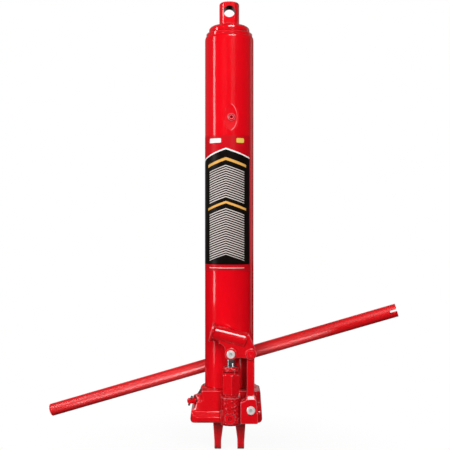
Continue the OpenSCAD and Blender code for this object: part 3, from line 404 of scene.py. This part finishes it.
# Print of the sticker on the piece's own UV, u round the tube from its front and v up it from the
# sticker's foot, both in millimetres. A chevron's height is that of its fold, and a tag has its
# middle and its width.
PRINT_BLACK = (0.004, 0.0025, 0.002)
PRINT_RED = (0.56, 0.0022, 0.0085)
PRINT_WHITE = (0.84, 0.82, 0.80)
PRINT_PALE = (0.64, 0.60, 0.56)
PRINT_AMBER = (0.76, 0.40, 0.09)
PRINT_YELLOW = (0.78, 0.58, 0.10)
FOLD_PLACE = -5.0
FOLD_SLOPE = 0.34
FOOT_HEIGHT = 9.6
FOOT_LINE = (4.4, 5.4)
HEAD_FOLD = 172.0
STRIPE_HEIGHT = 2.2
AMBER_FOLDS = ((157.0, 161.0), (96.0, 99.4))
LINE_FOLDS = ((104.0, 150.0), (24.0, 90.0))
LINE_PITCH = 3.38
LINE_SHARE = 0.40
LINE_REACH = 27.5
BAR_REACH = 31.0
TAG_PLACE = 184.6
TAG_HEIGHT = 6.4
TAG_CORNER = 1.6
WHITE_TAG = (-22.0, 20.0)
YELLOW_TAG = (16.0, 12.0)


def band(tree, value, low, high):
    above = math_node(tree, "GREATER_THAN", value, low)
    below = math_node(tree, "LESS_THAN", value, high)
    return math_node(tree, "MULTIPLY", above, below)


def any_of(tree, masks):
    total = masks[0]
    for mask in masks[1:]:
        total = math_node(tree, "MAXIMUM", total, mask)
    return total


def rows(tree, value, pitch, share):
    turn = math_node(tree, "FRACT", math_node(tree, "DIVIDE", value, pitch))
    return math_node(tree, "LESS_THAN", turn, share)


def past_corner(tree, value, middle, size):
    # Square of how far a place lies past the centre of a tag's round corner
    away = math_node(tree, "ABSOLUTE", math_node(tree, "SUBTRACT", value, middle))
    past = math_node(tree, "SUBTRACT", away, size / 2 - TAG_CORNER)
    return math_node(tree, "POWER", math_node(tree, "MAXIMUM", past, 0.0), 2.0)


def tag(tree, u, v, middle, width):
    across = past_corner(tree, u, middle, width)
    upward = past_corner(tree, v, TAG_PLACE, TAG_HEIGHT)
    reach = math_node(tree, "ADD", across, upward)
    return math_node(tree, "LESS_THAN", reach, TAG_CORNER * TAG_CORNER)


def sticker_print(name):
    material, tree, shader = new_material(name)
    coords = tree.nodes.new("ShaderNodeUVMap")
    coords.uv_map = "sticker"
    split = tree.nodes.new("ShaderNodeSeparateXYZ")
    tree.links.new(coords.outputs["UV"], split.inputs["Vector"])
    u, v = split.outputs["X"], split.outputs["Y"]
    # Lines of equal fold are chevrons that point up the tube
    across = math_node(tree, "ABSOLUTE", math_node(tree, "SUBTRACT", u, FOLD_PLACE))
    fold = math_node(tree, "ADD", v, math_node(tree, "MULTIPLY", across, FOLD_SLOPE))
    # A black field under a red head, with a white chevron along its top
    colour = mix_colour(tree, math_node(tree, "GREATER_THAN", fold, HEAD_FOLD), PRINT_BLACK, PRINT_RED)
    stripe = band(tree, fold, HEAD_FOLD, HEAD_FOLD + STRIPE_HEIGHT)
    colour = mix_colour(tree, stripe, colour, PRINT_WHITE)
    colour = mix_colour(tree, math_node(tree, "LESS_THAN", v, FOOT_HEIGHT), colour, PRINT_RED)
    # Amber chevrons, and fields of thin pale ones under them
    bar_width = math_node(tree, "LESS_THAN", across, BAR_REACH)
    amber = any_of(tree, [band(tree, fold, low, high) for low, high in AMBER_FOLDS])
    colour = mix_colour(tree, math_node(tree, "MULTIPLY", amber, bar_width), colour, PRINT_AMBER)
    fields = any_of(tree, [band(tree, fold, low, high) for low, high in LINE_FOLDS])
    line_width = math_node(tree, "LESS_THAN", across, LINE_REACH)
    line_field = math_node(tree, "MULTIPLY", fields, line_width)
    lines = math_node(tree, "MULTIPLY", rows(tree, fold, LINE_PITCH, LINE_SHARE), line_field)
    colour = mix_colour(tree, lines, colour, PRINT_PALE)
    # Two plain tags on the head and a line along the foot
    colour = mix_colour(tree, tag(tree, u, v, *WHITE_TAG), colour, PRINT_WHITE)
    colour = mix_colour(tree, tag(tree, u, v, *YELLOW_TAG), colour, PRINT_YELLOW)
    foot_line = math_node(tree, "MULTIPLY", band(tree, v, *FOOT_LINE), line_width)
    colour = mix_colour(tree, foot_line, colour, PRINT_PALE)
    tree.links.new(colour, shader.inputs["Base Color"])
    grain = object_noise(tree, 260.0, 2.0)
    tree.links.new(map_range(tree, grain.outputs["Fac"], 0.3, 0.7, 0.30, 0.42), shader.inputs["Roughness"])
    tree.links.new(bump(tree, grain.outputs["Fac"], 0.05, 0.1 * MM), shader.inputs["Normal"])
    shader.inputs["Specular IOR Level"].default_value = 0.10
    return material


def finish_mesh(name, shape, material, body):
    mesh = bpy.data.meshes.new(name)
    shape.to_mesh(mesh)
    shape.free()
    piece = bpy.data.objects.new(name, mesh)
    bpy.context.scene.collection.objects.link(piece)
    mesh.materials.append(material)
    for face in mesh.polygons:
        face.use_smooth = True
    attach(piece, body)
    return piece


def sticker():
    shape = bmesh.new()
    radius = tube_radius + STICKER_GAP
    start = math.radians(STICKER_LEFT - 90)
    # Its left side is a column of points, which is spun round the tube
    column = []
    for row in range(STICKER_ROWS + 1):
        height = STICKER_LOW + (STICKER_HIGH - STICKER_LOW) * row / STICKER_ROWS
        column.append(shape.verts.new((radius * math.cos(start), radius * math.sin(start), height)))
    edges = [shape.edges.new(pair) for pair in zip(column, column[1:])]
    bmesh.ops.spin(shape, geom=edges, axis=(0, 0, 1), cent=(0, 0, 0), steps=STICKER_STEPS,
                   angle=math.radians(STICKER_RIGHT - STICKER_LEFT))
    # An open sheet has no outside of its own, so it is turned to face away from the tube
    bmesh.ops.recalc_face_normals(shape, faces=shape.faces)
    any_face = shape.faces[:][0]
    if any_face.normal.dot(any_face.calc_center_median() * Vector((1, 1, 0))) < 0:
        bmesh.ops.reverse_faces(shape, faces=shape.faces)
    layer = shape.loops.layers.uv.new("sticker")
    for face in shape.faces:
        for loop in face.loops:
            x, y, z = loop.vert.co
            turn = math.atan2(x, -y)
            if turn > math.radians(180 + STICKER_LEFT / 2 + STICKER_RIGHT / 2):
                turn -= math.tau
            loop[layer].uv = (turn * radius / MM, (z - STICKER_LOW) / MM)
    finish_mesh("sticker", shape, sticker_print("sticker_print"), "jack")


# Finishes of the CAD nodes

# Where the castings are sandy, in x, y and z in millimetres: the pump boss, and the pump's head
BOSS_BOX = ((-9.0, 13.0), (-70.0, -56.0), (36.0, 72.0))
PUMP_BOX = ((-12.0, 16.0), (-70.0, -50.0), (108.0, 117.0))

gloss_red = gloss_paint("gloss_red_paint")
tube_red = gloss_paint("tube_red_paint", flat=True)
cast_red = cast_paint("cast_red_paint", BOSS_BOX)
pump_red = cast_paint("pump_red_paint", PUMP_BOX)
# Nut and ring: painted highlight on their edges at full strength, and crisp painted shade in their corners
top_red = gloss_paint("top_red_paint", edge=0.4 * MM, coat=1.0, highlight_share=1.0, corners=CRISP_CORNER_SHADE)
eye_red = gloss_paint("eye_red_paint", edge=0.4 * MM, coat=1.0, bore=True)
ground_rod = metal("ground_rod", (0.78, 0.79, 0.81), (0.72, 0.73, 0.75), 0.34, dull=0.03, cloud_scale=8.0)
ground_chrome = metal("ground_chrome", (0.80, 0.81, 0.83), (0.70, 0.71, 0.73), 0.10, dull=0.01,
                      cloud_scale=30.0)

# By the slot that a node has in the record
FINISHES = {
    "red_paint": gloss_red,
    "machined_steel": turned_metal("machined_steel", (0.60, 0.61, 0.63), (0.45, 0.46, 0.48), 0.25),
    "dark_steel": turned_metal("dark_steel", (0.16, 0.16, 0.17), (0.10, 0.10, 0.105), 0.35),
    "zinc": turned_metal("bright_zinc", (0.86, 0.87, 0.88), (0.74, 0.75, 0.77), 0.24, shine=0.55),
    "rubber": rubber("black_rubber"),
    "copper": turned_metal("copper", (0.78, 0.36, 0.20), (0.60, 0.26, 0.14), 0.30),
    "bronze": turned_metal("bronze", (0.62, 0.42, 0.18), (0.48, 0.32, 0.14), 0.30),
}

# Nodes with a finish of their own. The jack is sprayed once it is together, so the edge of the
# pump's gasket is red as well.
NODE_FINISHES = {
    "ram_rod": ground_rod,
    "reservoir_tube": tube_red,
    "top_nut": top_red,
    "tank_top_ring": top_red,
    "filler_plug": plug_paint("plug_red_paint", "filler_plug"),
    "ram_eye": eye_red,
    "pump_cylinder": pump_red,
    "pump_gasket": gloss_red,
    "pump_handle": satin_paint("satin_red_paint"),
    "pump_plunger": ground_chrome,
    "plunger_pin": pin_zinc("plunger_pin_zinc", "plunger_pin"),
    "link_foot_pin": pin_zinc("link_foot_pin_zinc", "link_foot_pin"),
}

# The castings' bodies, and the size of the steps that their edges are worn round by
CAST_NODES = {
    "base_casting": ("jack", 0.9 * MM),
    "lever": ("lever", 0.55 * MM),
    "link": ("link", 0.6 * MM),
    "pump_cylinder": ("jack", 0.45 * MM),
}
CAST_PASSES = 3
WELD_REACH = 0.002 * MM

for entry in frame["record"]["subparts"]:
    finish = cast_red if entry["node"] in CAST_NODES else FINISHES[entry["material_slot"]]
    finish = NODE_FINISHES.get(entry["node"], finish)
    node = frame["nodes"][entry["node"]]
    for material_slot in node.material_slots:
        material_slot.material = finish

sticker()


# Castings: copies of the CAD nodes with their sharp edges worn round

def rounded_casting(node_name, body, material, step):
    node = frame["nodes"][node_name]
    shape = bmesh.new()
    shape.from_mesh(node.data)
    bmesh.ops.remove_doubles(shape, verts=shape.verts, dist=WELD_REACH)
    rough = bpy.data.meshes.new("rough_" + node_name)
    shape.to_mesh(rough)
    shape.free()
    holder = bpy.data.objects.new("rough_" + node_name, rough)
    bpy.context.scene.collection.objects.link(holder)
    skin = holder.modifiers.new("skin", "REMESH")
    skin.mode = "VOXEL"
    skin.voxel_size = step
    relax = holder.modifiers.new("relax", "SMOOTH")
    relax.factor = 0.5
    relax.iterations = CAST_PASSES
    worn = holder.evaluated_get(bpy.context.evaluated_depsgraph_get())
    cast = bmesh.new()
    cast.from_mesh(worn.to_mesh())
    worn.to_mesh_clear()
    bpy.data.objects.remove(holder)
    bpy.data.meshes.remove(rough)
    piece = finish_mesh(node_name + "_casting", cast, material, body)
    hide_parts(node_name)


for node_name, (body, step) in CAST_NODES.items():
    rounded_casting(node_name, body, NODE_FINISHES.get(node_name, cast_red), step)


# Studio

# Strength of the world on what is dull, and of the studio that shows in what shines
WORLD_LEVEL = 0.09
STUDIO_FRONT = 0.03
STUDIO_SIDE = 0.16
STUDIO_BACK = 0.4

# Middle of the jack, and the way that the pump handle runs behind it. The strips that light the
# handle spread their light by so many degrees.
JACK_MIDDLE = (0, 0, 0.30)
HANDLE_RUN = Vector((0.961, 0.0, 0.276))
STRIP_HEIGHT = 40 * MM
STRIP_SPREAD = 44

# Floor: how far its pale sheet and its shadow fade out from the middle of the jack
FLOOR_SIZE = 6.0
FLOOR_GAP = 0.3 * MM
SHEET_EDGE = (60 * MM, 220 * MM)
SHADOW_EDGE = (80 * MM, 260 * MM)
SHADOW_GLOW = 0.91
SHEET_GREY = (0.30, 0.30, 0.30)
FLOOR_GREY = (0.04, 0.04, 0.04)
SEEN_WHITE = (0.92, 0.92, 0.92)


def floor():
    mesh = bpy.data.meshes.new("floor")
    shape = bmesh.new()
    bmesh.ops.create_grid(shape, x_segments=1, y_segments=1, size=FLOOR_SIZE)
    shape.to_mesh(mesh)
    shape.free()
    plane = bpy.data.objects.new("floor", mesh)
    plane.location.z = base_low.z - FLOOR_GAP
    bpy.context.scene.collection.objects.link(plane)
    material, tree, shader = new_material("pale_floor")
    shader.inputs["Roughness"].default_value = 0.9
    shader.inputs["Specular IOR Level"].default_value = 0.1
    # A pale sheet lies under the jack and the studio floor round it is dim. To the camera the floor is
    # as white as the backdrop, except where the jack's shadow falls.
    coords = tree.nodes.new("ShaderNodeTexCoord")
    reach = tree.nodes.new("ShaderNodeVectorMath")
    reach.operation = "LENGTH"
    tree.links.new(coords.outputs["Object"], reach.inputs[0])
    rays = tree.nodes.new("ShaderNodeLightPath")
    past_sheet = map_range(tree, reach.outputs["Value"], *SHEET_EDGE, 0.0, 1.0)
    studio_floor = mix_colour(tree, past_sheet, SHEET_GREY, FLOOR_GREY)
    seen_floor = mix_colour(tree, rays.outputs["Is Camera Ray"], studio_floor, SEEN_WHITE)
    tree.links.new(seen_floor, shader.inputs["Base Color"])
    glow = tree.nodes.new("ShaderNodeEmission")
    mix = tree.nodes.new("ShaderNodeMixShader")
    away = map_range(tree, reach.outputs["Value"], *SHADOW_EDGE, SHADOW_GLOW, 1.0)
    seen = math_node(tree, "MULTIPLY", rays.outputs["Is Camera Ray"], away)
    tree.links.new(seen, mix.inputs[0])
    tree.links.new(shader.outputs[0], mix.inputs[1])
    tree.links.new(glow.outputs[0], mix.inputs[2])
    tree.links.new(mix.outputs[0], tree.nodes["Material Output"].inputs[0])
    mesh.materials.append(material)


def world():
    sky = bpy.data.worlds.new("studio")
    bpy.context.scene.world = sky
    sky.use_nodes = True
    tree = sky.node_tree
    background = tree.nodes["Background"]
    rays = tree.nodes.new("ShaderNodeLightPath")
    shining, clear = rays.outputs["Is Glossy Ray"], rays.outputs["Is Transmission Ray"]
    mirrored = math_node(tree, "MAXIMUM", shining, clear)
    # What shines shows the white backdrop behind it and the dim studio in front of it
    coords = tree.nodes.new("ShaderNodeTexCoord")
    split = tree.nodes.new("ShaderNodeSeparateXYZ")
    tree.links.new(coords.outputs["Generated"], split.inputs["Vector"])
    sides = map_range(tree, split.outputs["Y"], -0.3, 0.5, STUDIO_FRONT, STUDIO_SIDE)
    behind = map_range(tree, split.outputs["Y"], 0.8, 1.0, 0.0, STUDIO_BACK)
    studio = math_node(tree, "MAXIMUM", sides, behind)
    plain = math_node(tree, "MULTIPLY", math_node(tree, "SUBTRACT", 1.0, mirrored), WORLD_LEVEL)
    level = math_node(tree, "ADD", math_node(tree, "MULTIPLY", mirrored, studio), plain)
    level = math_node(tree, "MAXIMUM", level, rays.outputs["Is Camera Ray"])
    tree.links.new(level, background.inputs["Strength"])
    background.inputs["Color"].default_value = (1, 1, 1, 1)


def softbox(name, place, target, width, height, power, fills=True, mirrored=True):
    lamp = bpy.data.lights.new(name, "AREA")
    lamp.shape = "RECTANGLE"
    lamp.size = width
    lamp.size_y = height
    lamp.energy = power
    holder = bpy.data.objects.new(name, lamp)
    holder.visible_diffuse = fills
    holder.visible_glossy = mirrored
    bpy.context.scene.collection.objects.link(holder)
    place, target = Vector(place), Vector(target)
    holder.location = place
    holder.rotation_euler = (target - place).to_track_quat("-Z", "Y").to_euler()
    return holder


def handle_strip(name, place, target, length, power):
    # A strip with a grid on it, along the pump handle and for its gloss alone
    holder = softbox(name, place, target, length, STRIP_HEIGHT, power, fills=False)
    holder.visible_camera = False
    holder.data.spread = math.radians(STRIP_SPREAD)
    away = (Vector(place) - Vector(target)).normalized()
    along = (HANDLE_RUN - away * away.dot(HANDLE_RUN)).normalized()
    across = away.cross(along)
    holder.rotation_euler = Matrix((along, across, away)).transposed().to_euler()


def camera():
    data = bpy.data.cameras.new("camera")
    data.lens = CAMERA_LENS
    data.sensor_width = CAMERA_SENSOR
    holder = bpy.data.objects.new("camera", data)
    holder.location = (CAMERA_SIDE, -CAMERA_DISTANCE, CAMERA_HEIGHT)
    holder.rotation_euler = (math.radians(90), 0, 0)
    bpy.context.scene.collection.objects.link(holder)
    bpy.context.scene.camera = holder


floor()
world()
camera()

# Each lamp has its place, the place that it faces, its width and height in metres, and its watts.
# Some fill without showing in the gloss, the two tall strips do both, and the rest are for gloss alone.
softbox("front_left", (-0.65, -1.5, 0.80), JACK_MIDDLE, 0.6, 0.8, 15, mirrored=False)
softbox("front_right", (0.45, -1.45, 0.80), JACK_MIDDLE, 0.5, 0.8, 15, mirrored=False)
softbox("left_strip", (-1.10, -0.30, 0.53), (0, 0, 0.53), 0.20, 0.86, 5.7)
softbox("right_strip", (0.95, 0.70, 0.33), JACK_MIDDLE, 0.30, 1.2, 0.6)
softbox("back_fill", (0.35, 1.6, 1.0), JACK_MIDDLE, 1.2, 1.0, 16, mirrored=False)
softbox("upper_front", (0.22, -0.86, 1.14), (0, 0, 0.15), 0.5, 0.50, 14, fills=False)
handle_strip("left_handle_strip", (-0.170, -0.065, 0.036), (-0.162, 0.05, 0.067), 0.24, 0.11)
handle_strip("right_handle_strip", (0.098, -0.075, 0.108), (0.080, 0.05, 0.134), 0.10, 0.03)
softbox("low_left", (-0.68, -0.18, 0.03), (0, 0, 0.10), 0.12, 0.05, 0.05, fills=False)
softbox("low_right", (0.54, -0.45, 0.03), (0, 0, 0.10), 0.10, 0.06, 0.10, fills=False)

bpy.context.scene.view_settings.view_transform = "Standard"
